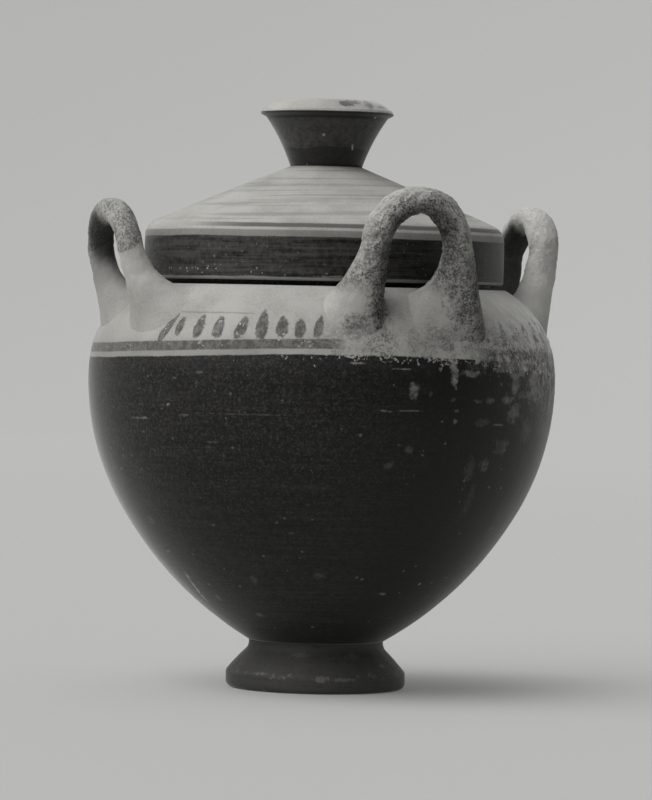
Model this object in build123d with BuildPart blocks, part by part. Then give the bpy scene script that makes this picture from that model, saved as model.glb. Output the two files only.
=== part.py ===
"""Lidded pyxis with four upright loop handles: a wheel-thrown pot, built from its eight clay pieces.

The origin is on the pot's axis, at the floor that the foot stands on. +Z is up, and the handles
stand over -Y (front), +X (right), +Y (back) and -X (left). All sizes are in millimetres.
"""

import os
from math import asin, atan2, cos, hypot, radians, sin

from build123d import *

# Foot: a thrown ring with a flaring outside and a hollow underside
FOOT_HEIGHT = 19.5
FOOT_DIAMETER = 73.4
FOOT_RIM_HEIGHT = 6.8
FOOT_RIM_ROUND = 2.4
STEM_DIAMETER = 55.0
STEM_HEIGHT = 2.6
RECESS_TOP_DIAMETER = 37.0
RECESS_BOTTOM_DIAMETER = 54.0
FOOT_INNER_ROUND = 1.2

# Body: bowl, shoulder, ledge and collar, thrown as one wall
BELLY_DIAMETER = 191.0
BOWL_HEIGHT = 106.5
BELLY_ARC_RADIUS = 104.0
BELLY_ARC_SWEEP = 29.0
EDGE_RISE = 14.5
EDGE_INSET = 1.8
SHOULDER_RISE = 23.8
SHOULDER_BULGE = 3.0
LEDGE_WIDTH = 6.2
COLLAR_DIAMETER = 136.6
COLLAR_HEIGHT = 22.2
COLLAR_WALL = 4.8
COLLAR_LIP_ROUND = 1.2
BODY_WALL = 5.0
FLOOR_THICKNESS = 7.0
INNER_ROUND = 3.0

# Lid: a shallow cone whose turned-down skirt hangs round the collar
LID_CLEARANCE = 1.0
LID_WALL = 4.2
LID_EDGE_GAP = 2.0
LID_ROOF_THICKNESS = 7.0
LID_CONE_RISE = 24.7
LID_CORNER_ROUND = 7.0
LID_EDGE_ROUND = 1.1
LID_SEAT_OVERLAP = 1.4

# Knob: a flaring stem under a lip with a low flat-topped cone
KNOB_NECK_DIAMETER = 29.4
KNOB_FLARE_DIAMETER = 49.8
KNOB_FLARE_HEIGHT = 20.2
KNOB_FLARE_HOLLOW = 0.8
KNOB_DIAMETER = 54.8
KNOB_LIP_UNDERCUT = 1.3
KNOB_LIP_HEIGHT = 1.6
KNOB_LIP_SLANT = 0.8
KNOB_LIP_ROUND = 0.6
KNOB_CONE_RISE = 4.0
KNOB_TOP_DIAMETER = 35.0

# Handles: rolled loops that lean outwards, each luted to the shoulder by two spread roots
HANDLE_PLACE = 0.45
HANDLE_SPAN = 43.0
HANDLE_ARCH_RADIUS = 17.0
HANDLE_LEAN = 8.5
CROWN_SLIMMING = 0.8
ROOT_REACH = 24.0
ROOT_SPREAD = 11.0
ROOT_DEPTH = 17.0
ROOT_GRIP = 1.106723

# Each root's flare: height as a share of its reach, and how far it has spread by then
ROOT_FLARE = [(-0.6, 2.0), (-0.25, 1.4), (0.17, 0.8), (0.46, 0.38), (0.71, 0.13), (1.0, 0.0)]

# Each loop's rise above its roots: hand-pulled loops aren't alike
FRONT_HANDLE_RISE = 51.6
RIGHT_HANDLE_RISE = 47.1
BACK_HANDLE_RISE = 47.1
LEFT_HANDLE_RISE = 45.6

# How far each loop's roots stand to one side of its crown
FRONT_HANDLE_SHIFT = 4.5
RIGHT_HANDLE_SHIFT = -1.0
BACK_HANDLE_SHIFT = 1.0
LEFT_HANDLE_SHIFT = 1.0

# Each loop's coil: thickness in the plane of the loop, and width across it
FRONT_HANDLE_COIL = (11.4, 12.4)
RIGHT_HANDLE_COIL = (11.0, 13.0)
BACK_HANDLE_COIL = (11.0, 12.4)
LEFT_HANDLE_COIL = (10.4, 10.4)

# Each handle's bearing round the pot, in degrees from +X, its rise, its shift and its coil
HANDLES = {
    "handle_front": (-90.0, FRONT_HANDLE_RISE, FRONT_HANDLE_SHIFT, FRONT_HANDLE_COIL),
    "handle_right": (0.0, RIGHT_HANDLE_RISE, RIGHT_HANDLE_SHIFT, RIGHT_HANDLE_COIL),
    "handle_back": (90.0, BACK_HANDLE_RISE, BACK_HANDLE_SHIFT, BACK_HANDLE_COIL),
    "handle_left": (180.0, LEFT_HANDLE_RISE, LEFT_HANDLE_SHIFT, LEFT_HANDLE_COIL),
}

# Heights that the pieces share
belly_z = FOOT_HEIGHT + BOWL_HEIGHT
edge_z = belly_z + EDGE_RISE
ledge_z = edge_z + SHOULDER_RISE
seat_z = ledge_z + COLLAR_HEIGHT

# Radii that the pieces share
foot_r = FOOT_DIAMETER / 2
stem_r = STEM_DIAMETER / 2
belly_r = BELLY_DIAMETER / 2
edge_r = belly_r - EDGE_INSET
collar_r = COLLAR_DIAMETER / 2
ledge_r = collar_r + LEDGE_WIDTH
mouth_r = collar_r - COLLAR_WALL
lid_bore_r = collar_r + LID_CLEARANCE
lid_r = lid_bore_r + LID_WALL
lid_seat_r = mouth_r - LID_SEAT_OVERLAP
neck_r = KNOB_NECK_DIAMETER / 2
knob_r = KNOB_DIAMETER / 2

# How far in the shoulder leans for each millimetre that it rises, and a root's buried end as it goes down
shoulder_slope = (edge_r - ledge_r) / SHOULDER_RISE
root_tuck = ROOT_GRIP - shoulder_slope

os.makedirs("parts", exist_ok=True)


def write(piece, name):
    """Labels a finished piece and writes it to its own file."""
    piece.part.label = name
    export_step(piece.part, f"parts/{name}.step")


# Foot
with BuildPart() as foot:
    with BuildSketch(Plane.XZ) as foot_section:
        with BuildLine():
            Polyline(
                (RECESS_TOP_DIAMETER / 2, FOOT_HEIGHT),
                (stem_r, FOOT_HEIGHT),
                (stem_r, FOOT_HEIGHT - STEM_HEIGHT),
                (foot_r, FOOT_RIM_HEIGHT),
                (foot_r, 0),
                (RECESS_BOTTOM_DIAMETER / 2, 0),
                close=True,
            )
        make_face()
        fillet(foot_section.vertices().group_by(Axis.Y)[-2], STEM_HEIGHT * 1.8)
        fillet(foot_section.vertices().group_by(Axis.X)[-1], FOOT_RIM_ROUND)
        fillet(foot_section.vertices().group_by(Axis.Y)[0].sort_by(Axis.X)[0], FOOT_INNER_ROUND)
    revolve(axis=Axis.Z)
write(foot, "foot")

# Body envelope: the bowl, shoulder and collar as a filled solid, which the roots are cut to
with BuildPart() as envelope:
    with BuildSketch(Plane.XZ):
        with BuildLine() as wall:
            upper_bowl = JernArc(
                (belly_r, belly_z), (0, -1), BELLY_ARC_RADIUS, -BELLY_ARC_SWEEP
            )
            lower_bowl = TangentArc(
                upper_bowl @ 1, (stem_r, FOOT_HEIGHT), tangent=upper_bowl % 1
            )
            upper_belly = TangentArc(
                (belly_r, belly_z), (edge_r, edge_z), tangent=(0, 1)
            )
            shoulder = SagittaArc(
                upper_belly @ 1, (ledge_r, ledge_z), -SHOULDER_BULGE
            )
        with BuildLine():
            Polyline(
                shoulder @ 1,
                (collar_r, ledge_z),
                (collar_r, seat_z),
                (0, seat_z),
                (0, FOOT_HEIGHT),
                lower_bowl @ 1,
            )
        make_face()
    revolve(axis=Axis.Z)

# Cavity: the wall's curve moved in by the wall's thickness, with a flat floor and a round mouth
under_ledge_z = ledge_z - BODY_WALL
floor_z = FOOT_HEIGHT + FLOOR_THICKNESS
with BuildPart() as cavity:
    with BuildSketch(Plane.XZ) as cavity_section:
        with BuildLine():
            inner_wall = offset(wall.line, BODY_WALL, side=Side.RIGHT, closed=False)
            Polyline(
                inner_wall @ 1,
                (0, (inner_wall @ 1).Y),
                (0, (inner_wall @ 0).Y),
                inner_wall @ 0,
            )
        make_face()
        with Locations((0, floor_z)):
            Rectangle(belly_r, floor_z, align=(Align.MIN, Align.MAX), mode=Mode.SUBTRACT)
        with Locations((0, under_ledge_z)):
            Rectangle(belly_r, seat_z, align=(Align.MIN, Align.MIN), mode=Mode.SUBTRACT)
            Rectangle(mouth_r, ledge_z, align=(Align.MIN, Align.MIN))
        corners = cavity_section.vertices().filter_by_position(Axis.X, stem_r / 2, belly_r)
        floor_corner = corners.group_by(Axis.Y)[0]
        mouth_corner = corners.group_by(Axis.Y)[-2].sort_by(Axis.X)[0]
        fillet([floor_corner[0], mouth_corner], INNER_ROUND)
    revolve(axis=Axis.Z)

# Body
with BuildPart() as body:
    add(envelope.part)
    add(cavity.part, mode=Mode.SUBTRACT)
    lip = body.edges().filter_by(GeomType.CIRCLE).group_by(Axis.Z)[-1]
    fillet(lip, COLLAR_LIP_ROUND)
write(body, "body")


def leg_sections(root_across, spring_z, coil):
    """Lists one side's sections, root to crown: place across, up and in, turn, thickness, width."""
    coil_thickness, coil_width = coil
    reach = hypot(root_across, spring_z)
    splay = atan2(root_across, spring_z) - asin(HANDLE_ARCH_RADIUS / reach)
    sections = []
    for share, spread in ROOT_FLARE:
        height = ROOT_REACH * share
        thickness = coil_thickness + ROOT_SPREAD * spread
        width = coil_width + ROOT_DEPTH * spread
        tuck = ROOT_DEPTH * spread / 2 - min(height, 0.0) * root_tuck
        across = root_across - height * sin(splay)
        sections.append((across, height * cos(splay), tuck, splay, thickness, width))
    for share in (0.0, 0.33, 0.67):
        turn = splay + share * (radians(90) - splay)
        across = HANDLE_ARCH_RADIUS * cos(turn)
        height = spring_z + HANDLE_ARCH_RADIUS * sin(turn)
        thickness = coil_thickness - share * CROWN_SLIMMING
        sections.append((across, height, 0.0, turn, thickness, coil_width))
    return sections


def handle_sections(rise, shift, coil):
    """Lists a whole loop's sections, from the root on one side over the crown to the other."""
    crown_thickness = coil[0] - CROWN_SLIMMING
    spring_z = rise - crown_thickness / 2 - HANDLE_ARCH_RADIUS
    crown_z = spring_z + HANDLE_ARCH_RADIUS
    crown = (0.0, crown_z, 0.0, radians(90), crown_thickness, coil[1])
    far_side = []
    for across, height, tuck, turn, thickness, width in reversed(
        leg_sections(HANDLE_SPAN / 2 - shift, spring_z, coil)
    ):
        far_side.append((-across, height, tuck, radians(180) - turn, thickness, width))
    return leg_sections(HANDLE_SPAN / 2 + shift, spring_z, coil) + [crown] + far_side


# Handles: lofted loops, cut to the pot's outside at their roots
root = shoulder @ HANDLE_PLACE
lean = radians(HANDLE_LEAN)
for name, (bearing, rise, shift, coil) in HANDLES.items():
    pot_plane = Plane.XY.rotated((0, 0, bearing))
    outward = pot_plane.x_dir
    along = pot_plane.y_dir
    upward = Vector(0, 0, 1) * cos(lean) + outward * sin(lean)
    through = along.cross(upward)
    centre = outward * root.X + Vector(0, 0, root.Y)
    with BuildPart() as handle:
        for across, height, tuck, turn, thickness, width in handle_sections(rise, shift, coil):
            place = centre + along * across + upward * height - through * tuck
            heading = upward * cos(turn) - along * sin(turn)
            with BuildSketch(Plane(place, x_dir=through, z_dir=heading)):
                Ellipse(width / 2, thickness / 2)
        loft()
        add(envelope.part, mode=Mode.SUBTRACT)
    write(handle, name)

# Lid
roof_slope = LID_CONE_RISE / (lid_r - neck_r)
lid_corner_z = seat_z + LID_ROOF_THICKNESS - (lid_r - lid_seat_r) * roof_slope
lid_top_z = lid_corner_z + LID_CONE_RISE
lid_edge_z = ledge_z + LID_EDGE_GAP
with BuildPart() as lid:
    with BuildSketch(Plane.XZ) as lid_section:
        with BuildLine():
            Polyline(
                (lid_bore_r, lid_edge_z),
                (lid_r, lid_edge_z),
                (lid_r, lid_corner_z),
                (neck_r, lid_top_z),
                (0, lid_top_z),
                (0, lid_top_z - LID_ROOF_THICKNESS),
                (neck_r, lid_top_z - LID_ROOF_THICKNESS),
                (lid_seat_r, seat_z),
                (lid_bore_r, seat_z),
                close=True,
            )
        make_face()
        fillet(lid_section.vertices().group_by(Axis.X)[-1].sort_by(Axis.Y)[-1], LID_CORNER_ROUND)
        fillet(lid_section.vertices().group_by(Axis.Y)[0], LID_EDGE_ROUND)
    revolve(axis=Axis.Z)
write(lid, "lid")

# Knob
flare_r = KNOB_FLARE_DIAMETER / 2
flare_z = lid_top_z + KNOB_FLARE_HEIGHT
lip_z = flare_z + KNOB_LIP_UNDERCUT
with BuildPart() as lid_knob:
    with BuildSketch(Plane.XZ) as knob_section:
        with BuildLine():
            flare = SagittaArc((neck_r, lid_top_z), (flare_r, flare_z), KNOB_FLARE_HOLLOW)
            Polyline(
                flare @ 1,
                (knob_r, lip_z),
                (knob_r - KNOB_LIP_SLANT, lip_z + KNOB_LIP_HEIGHT),
                (KNOB_TOP_DIAMETER / 2, lip_z + KNOB_LIP_HEIGHT + KNOB_CONE_RISE),
                (0, lip_z + KNOB_LIP_HEIGHT + KNOB_CONE_RISE),
                (0, lid_top_z),
                flare @ 0,
            )
        make_face()
        lip_corners = knob_section.vertices().sort_by(Axis.X)[-2:]
        fillet(lip_corners, KNOB_LIP_ROUND)
    revolve(axis=Axis.Z)
write(lid_knob, "lid_knob")
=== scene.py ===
"""Dresses the lidded pyxis: thrown and hand-pulled clay, worn black glaze and soft studio light."""

import bisect
import functools
import math
import operator

import bmesh
import bpy
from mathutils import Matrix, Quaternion, Vector


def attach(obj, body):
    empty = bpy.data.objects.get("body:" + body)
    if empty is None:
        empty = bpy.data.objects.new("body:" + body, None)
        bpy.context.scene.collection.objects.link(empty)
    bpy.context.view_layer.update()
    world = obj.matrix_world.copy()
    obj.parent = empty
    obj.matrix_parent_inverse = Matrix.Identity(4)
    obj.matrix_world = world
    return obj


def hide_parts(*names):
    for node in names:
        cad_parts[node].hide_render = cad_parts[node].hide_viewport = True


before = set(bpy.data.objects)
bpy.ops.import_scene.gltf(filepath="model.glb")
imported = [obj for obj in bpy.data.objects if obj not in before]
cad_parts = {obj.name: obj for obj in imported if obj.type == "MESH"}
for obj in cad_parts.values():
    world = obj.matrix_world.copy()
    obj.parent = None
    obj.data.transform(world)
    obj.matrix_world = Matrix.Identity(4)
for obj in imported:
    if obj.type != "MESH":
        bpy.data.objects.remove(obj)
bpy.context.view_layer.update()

MM = 0.001

# Measures that several pieces share, in millimetres
FOOT_TOP = 19.5
LEDGE_HEIGHT = 164.3
COLLAR_RADIUS = 68.3
BORE_RADIUS = 69.3
NECK_RADIUS = 14.7

# Sections of the thrown pieces, in millimetres from the axis and above the floor.
# Each run is where it ends, how far it bows outwards, and how close its points are.
FOOT_START = (18.5, FOOT_TOP)
FOOT_RUNS = [
    ((26.5, 1.15), 0.0, 3.0),
    ((27.9, 0.0), 0.35, 0.6),
    ((34.3, 0.0), 0.0, 1.6),
    ((36.7, 2.4), 0.70, 0.5),
    ((36.7, 5.87), 0.0, 0.9),
    ((36.07, 7.49), 0.16, 0.4),
    ((28.72, 15.56), 0.15, 1.0),
    ((27.5, 18.71), -0.31, 0.6),
    ((27.5, FOOT_TOP), 0.0, 0.4),
    (FOOT_START, 0.0, 3.0),
]
BODY_START = (0.0, FOOT_TOP)
WALL_START = (27.5, FOOT_TOP)
WALL_RUNS = [
    ((82.46, 75.58), 5.31, 1.6),
    ((95.5, 126.0), 3.31, 1.5),
    ((93.7, 140.5), 0.45, 1.2),
    ((74.5, LEDGE_HEIGHT), 3.0, 1.2),
]
BODY_RUNS = [(WALL_START, 0.0, 3.5)] + WALL_RUNS + [
    ((69.3, LEDGE_HEIGHT), 0.0, 1.3),
    ((COLLAR_RADIUS, 165.3), -0.29, 0.4),
    ((COLLAR_RADIUS, 185.3), 0.0, 4.0),
    ((67.1, 186.5), 0.35, 0.4),
    ((64.7, 186.5), 0.0, 1.2),
    ((63.5, 185.3), 0.35, 0.4),
    ((63.5, 162.3), 0.0, 4.0),
    ((66.5, 159.3), 0.88, 0.9),
    ((73.17, 159.3), 0.0, 2.5),
    ((88.91, 139.06), -2.4, 3.5),
    ((90.5, 126.0), -0.4, 3.5),
    ((78.09, 78.0), -3.16, 5.0),
    ((31.5, 28.6), -4.03, 5.0),
    ((27.0, 26.5), -0.5, 1.5),
    ((0.0, 26.5), 0.0, 5.0),
]
LID_START = (0.0, 206.41)
LID_RUNS = [
    ((NECK_RADIUS, 206.41), 0.0, 4.0),
    ((62.1, 186.5), 0.0, 4.0),
    ((BORE_RADIUS, 186.5), 0.0, 2.4),
    ((BORE_RADIUS, 167.4), 0.0, 3.0),
    ((70.4, 166.3), 0.32, 0.4),
    ((72.4, 166.3), 0.0, 0.7),
    ((73.5, 167.4), 0.32, 0.4),
    ((73.5, 184.06), 0.12, 1.2),
    ((69.21, 190.51), 1.17, 0.6),
    ((NECK_RADIUS, 213.41), 0.15, 1.2),
    ((0.0, 213.41), 0.0, 4.0),
]
KNOB_START = (0.0, 213.41)
KNOB_RUNS = [
    ((NECK_RADIUS, 213.41), 0.0, 4.0),
    ((24.9, 233.61), -0.8, 1.0),
    ((26.9, 234.65), 0.0, 0.5),
    ((27.2, 235.35), 0.15, 0.3),
    ((26.72, 236.2), 0.0, 0.5),
    ((26.1, 236.73), 0.12, 0.3),
    ((21.3, 239.9), 0.25, 1.0),
    ((19.2, 240.51), 0.12, 0.4),
    ((0.0, 240.51), 0.0, 3.0),
]


def bowed_run(start, end, bow, gap):
    """Lists points from start to end, the start left out, along an arc that bows to the right."""
    start = Vector(start)
    chord = Vector(end) - start
    right = Vector((chord.y, -chord.x)).normalized()
    count = max(1, math.ceil(chord.length / gap))
    points = []
    for index in range(1, count + 1):
        share = index / count
        points.append(start + chord * share + right * (4.0 * bow * share * (1.0 - share)))
    return points


def section_points(start, runs):
    """Lists the points of a whole section, run after run."""
    points = [Vector(start)]
    for end, bow, gap in runs:
        points += bowed_run(points[-1], end, bow, gap)
    return points


def throw(name, points, turns):
    """Draws half a section by extruding one vertex along it, and spins it round the axis."""
    bpy.ops.object.select_all(action="DESELECT")
    bpy.ops.mesh.primitive_plane_add(size=MM, location=(0.0, 0.0, 0.0))
    piece = bpy.context.object
    piece.name = name
    bpy.ops.object.mode_set(mode="EDIT")
    bpy.ops.mesh.select_all(action="SELECT")
    bpy.ops.mesh.merge(type="CENTER")
    bpy.ops.transform.translate(value=(points[0].x * MM, 0.0, points[0].y * MM))
    for here, there in zip(points, points[1:]):
        step = ((there.x - here.x) * MM, 0.0, (there.y - here.y) * MM)
        bpy.ops.mesh.extrude_region_move(TRANSFORM_OT_translate={"value": step})
    bpy.ops.mesh.select_all(action="SELECT")
    bpy.ops.mesh.spin(steps=turns, angle=math.tau, center=(0.0, 0.0, 0.0), axis=(0.0, 0.0, 1.0))
    bpy.ops.mesh.select_all(action="SELECT")
    bpy.ops.mesh.remove_doubles(threshold=0.01 * MM)
    bpy.ops.mesh.normals_make_consistent(inside=False)
    bpy.ops.object.mode_set(mode="OBJECT")
    bpy.ops.object.shade_smooth()
    return piece


def soft_step(value, low, high):
    """Rises smoothly from 0 at low to 1 at high; falls where low is the larger."""
    share = min(1.0, max(0.0, (value - low) / (high - low)))
    return share * share * (3.0 - 2.0 * share)


def bearing_of(point):
    """A point's bearing round the pot, in degrees: 0 at the front handle, positive to the right."""
    return math.degrees(math.atan2(point.x, -point.y))


def roughen(piece, name, grain, depth, share):
    """Moves a piece's skin in and out by lumps of that grain; share gives each vertex its part."""
    group = piece.vertex_groups.new(name=name)
    for vertex in piece.data.vertices:
        group.add([vertex.index], share(vertex.co / MM), "REPLACE")
    lumps = bpy.data.textures.new(name, "CLOUDS")
    lumps.noise_scale = grain * MM
    lumps.noise_depth = 3
    lift = piece.modifiers.new(name, "DISPLACE")
    lift.texture = lumps
    lift.texture_coords = "LOCAL"
    lift.mid_level = 0.5
    lift.strength = depth * MM
    lift.vertex_group = name
    bpy.ops.object.select_all(action="DESELECT")
    bpy.context.view_layer.objects.active = piece
    piece.select_set(True)
    bpy.ops.object.modifier_apply(modifier=name)


# The wall's skin, for what sits on it: its line, its depth, and how far short of its joints it stops
WALL = section_points(WALL_START, [(end, bow, 0.5) for end, bow, gap in WALL_RUNS])
WALL_HEIGHTS = [point.y for point in WALL]
SKIN_DEPTH = 1.5
SKIN_EDGE = 0.1


def wall_radius(height):
    """The radius of the pot's skin at a height; above the ledge it is the collar's."""
    if height >= WALL_HEIGHTS[-1]:
        return COLLAR_RADIUS
    index = max(1, bisect.bisect(WALL_HEIGHTS, height))
    low, high = WALL[index - 1], WALL[index]
    return low.x + (high.x - low.x) * (height - low.y) / (high.y - low.y)


def on_wall_skin(point):
    """Whether a point is on the outside of the wall, between the foot and the ledge."""
    reach = math.hypot(point.x, point.y)
    between_joints = FOOT_TOP + SKIN_EDGE < point.z < LEDGE_HEIGHT - SKIN_EDGE
    return between_joints and abs(wall_radius(point.z) - reach) < SKIN_DEPTH


def foot_unevenness(point):
    """The foot's flare and rim are uneven; its joint and its standing edge stay true."""
    return soft_step(point.z, 0.4, 2.5) * soft_step(point.z, 19.3, 17.0)


def wall_unevenness(point):
    """The outside of the wall wavers, away from the foot and the ledge."""
    if not on_wall_skin(point):
        return 0.0
    return soft_step(point.z, 20.0, 30.0) * soft_step(point.z, 164.0, 155.0)


def wall_crust(point):
    """Crust lies on the shoulder by the front handle and on the belly to its right."""
    if not on_wall_skin(point):
        return 0.0
    bearing = bearing_of(point)
    by_handle = soft_step(bearing, -34.0, -12.0) * soft_step(point.z, 136.0, 142.0)
    right_side = soft_step(bearing, 22.0, 50.0) * soft_step(point.z, 114.0, 132.0)
    ending = soft_step(bearing, 105.0, 75.0) * soft_step(point.z, 163.5, 158.0)
    return max(by_handle, right_side) * ending


foot = throw("foot_ring", section_points(FOOT_START, FOOT_RUNS), turns=180)
body = throw("pot_body", section_points(BODY_START, BODY_RUNS), turns=320)
lid = throw("lid_cone", section_points(LID_START, LID_RUNS), turns=240)
knob = throw("knob_cup", section_points(KNOB_START, KNOB_RUNS), turns=180)
roughen(foot, "foot_waver", grain=9.0, depth=0.5, share=foot_unevenness)
roughen(body, "wall_waver", grain=45.0, depth=0.5, share=wall_unevenness)
roughen(body, "wall_crust", grain=4.0, depth=1.4, share=wall_crust)

# Handles: where a loop's roots stand on the shoulder, and the rings of its coil
ROOT_REACH = 87.4
ROOT_HEIGHT = 153.04
LEAN = math.radians(8.5)
ARCH_RADIUS = 17.0
CROWN_SLIMMING = 0.8
COIL_SIDES = 28
BLANK_RADIUS = 0.1
BLANK_LENGTH = 1.0
LEG_RINGS = 3
ARCH_RINGS = 17
FOOT_RINGS = 13
FOOT_STARTS_AT = 0.12
FOOT_TUCK = 0.12
SINK = 0.7
CAP_SINK = 2.0
FARTHEST_SKIN = 60.0
SKIN_SEARCHES = 24

# Each loop: the solid it stands for, bearing from +X, rise, where its two roots stand along the
# shoulder, coil thickness and width, how pointed its opening is, and how far the clay of each leg
# spreads at its foot: towards the opening, away from it, up the shoulder and down it, and how
# hollow the curve of that foot is
LOOPS = {
    "loop_front": {
        "solid": "handle_front",
        "bearing": -90.0,
        "rise": 51.6,
        "roots": (-19.5, 26.0),
        "coil": (11.4, 12.4),
        "point": 0.6,
        "left": (2.5, 10.0, 12.0, 6.0, 0.22),
        "right": (25.0, 3.0, 18.0, 8.0, 0.38),
    },
    "loop_right": {
        "solid": "handle_right",
        "bearing": 0.0,
        "rise": 47.1,
        "roots": (-22.5, 13.0),
        "coil": (11.0, 13.0),
        "point": 1.3,
        "left": (6.0, 14.0, 7.0, 8.0, 0.5),
        "right": (20.0, 13.0, 10.0, 8.0, 0.5),
    },
    "loop_back": {
        "solid": "handle_back",
        "bearing": 90.0,
        "rise": 47.1,
        "roots": (-20.5, 22.5),
        "coil": (11.0, 12.4),
        "point": 0.6,
        "left": (7.0, 11.0, 7.0, 3.0, 0.5),
        "right": (7.0, 11.0, 7.0, 3.0, 0.5),
    },
    "loop_left": {
        "solid": "handle_left",
        "bearing": 180.0,
        "rise": 45.6,
        "roots": (-17.0, 22.5),
        "coil": (10.4, 10.4),
        "point": 0.6,
        "left": (18.0, 8.0, 8.0, 8.0, 0.5),
        "right": (11.0, 22.0, 16.0, 9.0, 0.5),
    },
}


def onto_wall(place, depth):
    """The nearest place on the pot's skin, sunk into the clay by that depth."""
    reach = math.hypot(place.x, place.y)
    spot = Vector((reach, place.z))
    index = min(range(len(WALL)), key=lambda step: (WALL[step] - spot).length_squared)
    index = min(max(index, 1), len(WALL) - 2)
    run = (WALL[index + 1] - WALL[index - 1]).normalized()
    sunk = WALL[index] - Vector((run.y, -run.x)) * depth
    return Vector((place.x / reach * sunk.x, place.y / reach * sunk.x, sunk.y))


def meet_wall(start, way):
    """Where a line from a place off the pot first meets its skin."""
    near, far = 0.0, FARTHEST_SKIN
    for _ in range(SKIN_SEARCHES):
        middle = (near + far) / 2
        place = start + way * middle
        if math.hypot(place.x, place.y) > wall_radius(place.z):
            near = middle
        else:
            far = middle
    return start + way * far


class Loop:
    """The line and the rings of one handle, in millimetres."""

    def __init__(self, plan):
        turn = math.radians(plan["bearing"])
        outward = Vector((math.cos(turn), math.sin(turn), 0.0))
        self.along = Vector((-math.sin(turn), math.cos(turn), 0.0))
        self.up = outward * math.sin(LEAN) + Vector((0.0, 0.0, math.cos(LEAN)))
        self.through = self.along.cross(self.up)
        self.root = outward * ROOT_REACH + Vector((0.0, 0.0, ROOT_HEIGHT))
        self.thickness, self.width = plan["coil"]
        self.point = plan["point"]
        self.spring = plan["rise"] - (self.thickness - CROWN_SLIMMING) / 2 - ARCH_RADIUS
        self.roots = plan["roots"]
        self.spreads = (plan["left"], plan["right"])

    def place(self, across, height):
        """A place in the loop's own plane as a place by the pot."""
        return self.root + self.along * across + self.up * height

    def leaves_arch(self, across):
        """The angle of the arch at which the leg to a root leaves it."""
        reach = math.hypot(across, self.spring)
        splay = math.atan2(abs(across), self.spring) - math.asin(ARCH_RADIUS / reach)
        return splay if across > 0 else math.pi - splay

    def arch_station(self, angle):
        """Centre, heading and thickness of the coil where the arch has that angle."""
        across = ARCH_RADIUS * math.cos(angle)
        height = self.spring + ARCH_RADIUS * math.sin(angle)
        heading = self.along * math.sin(angle) - self.up * math.cos(angle)
        fuller = self.point * math.sin(2.0 * angle) ** 2
        slimmer = CROWN_SLIMMING * max(0.0, math.sin(angle)) ** 3
        centre = self.place(across, height) + heading.cross(self.through) * (fuller / 2)
        return centre, heading, self.thickness + fuller - slimmer

    def ring_point(self, station, angle):
        """A point of the coil's skin: 0 degrees faces the opening, 90 faces away from the pot."""
        centre, heading, thickness = station
        inwards = heading.cross(self.through)
        side = inwards * (math.cos(angle) * thickness / 2)
        return centre + side + self.through * (math.sin(angle) * self.width / 2)

    def foot_point(self, station, way, spread, share, angle):
        """A point of a leg's foot, which leaves the leg's side and eases out along the shoulder."""
        start = self.ring_point(station, angle)
        tucked_way = (way - self.through * FOOT_TUCK).normalized()
        corner = meet_wall(start, tucked_way)
        inwards = station[1].cross(self.through)
        side = inwards * math.cos(angle) + self.through * math.sin(angle)
        towards, away, uphill, downhill, hollow = spread
        across = towards if math.cos(angle) > 0 else away
        slope = downhill if math.sin(angle) > 0 else uphill
        reach = across * math.cos(angle) ** 2 + slope * math.sin(angle) ** 2
        end = onto_wall(corner + side * reach, SINK)
        if share > 1.0:
            return onto_wall(end, CAP_SINK)
        lead = start.lerp(corner, hollow)
        bend = end.lerp(corner, hollow)
        rest = 1.0 - share
        leaving = start * rest**3 + lead * (3.0 * share * rest**2)
        return leaving + bend * (3.0 * share**2 * rest) + end * share**3

    def leg_rows(self, across, spread):
        """Lists one leg's rings, from the arch down: a station, and what its foot does there."""
        angle = self.leaves_arch(across)
        centre, heading, thickness = self.arch_station(angle)
        way = heading if across > 0 else -heading
        length = (self.place(across, 0.0) - centre).length
        low = (centre + way * (length * FOOT_STARTS_AT), heading, thickness)
        rows = []
        for index in range(LEG_RINGS):
            station = (centre.lerp(low[0], index / LEG_RINGS), heading, thickness)
            rows.append((station, None))
        for index in range(FOOT_RINGS + 1):
            rows.append((low, (way, spread, index / (FOOT_RINGS - 1))))
        return rows

    def rows(self):
        """Lists every ring, from the left foot over the arch to the right foot."""
        left_leg, right_leg = map(self.leg_rows, self.roots, self.spreads)
        first, last = map(self.leaves_arch, self.roots)
        arch = []
        for index in range(1, ARCH_RINGS):
            angle = first + (last - first) * index / ARCH_RINGS
            arch.append((self.arch_station(angle), None))
        return left_leg[::-1] + arch + right_leg


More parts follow.
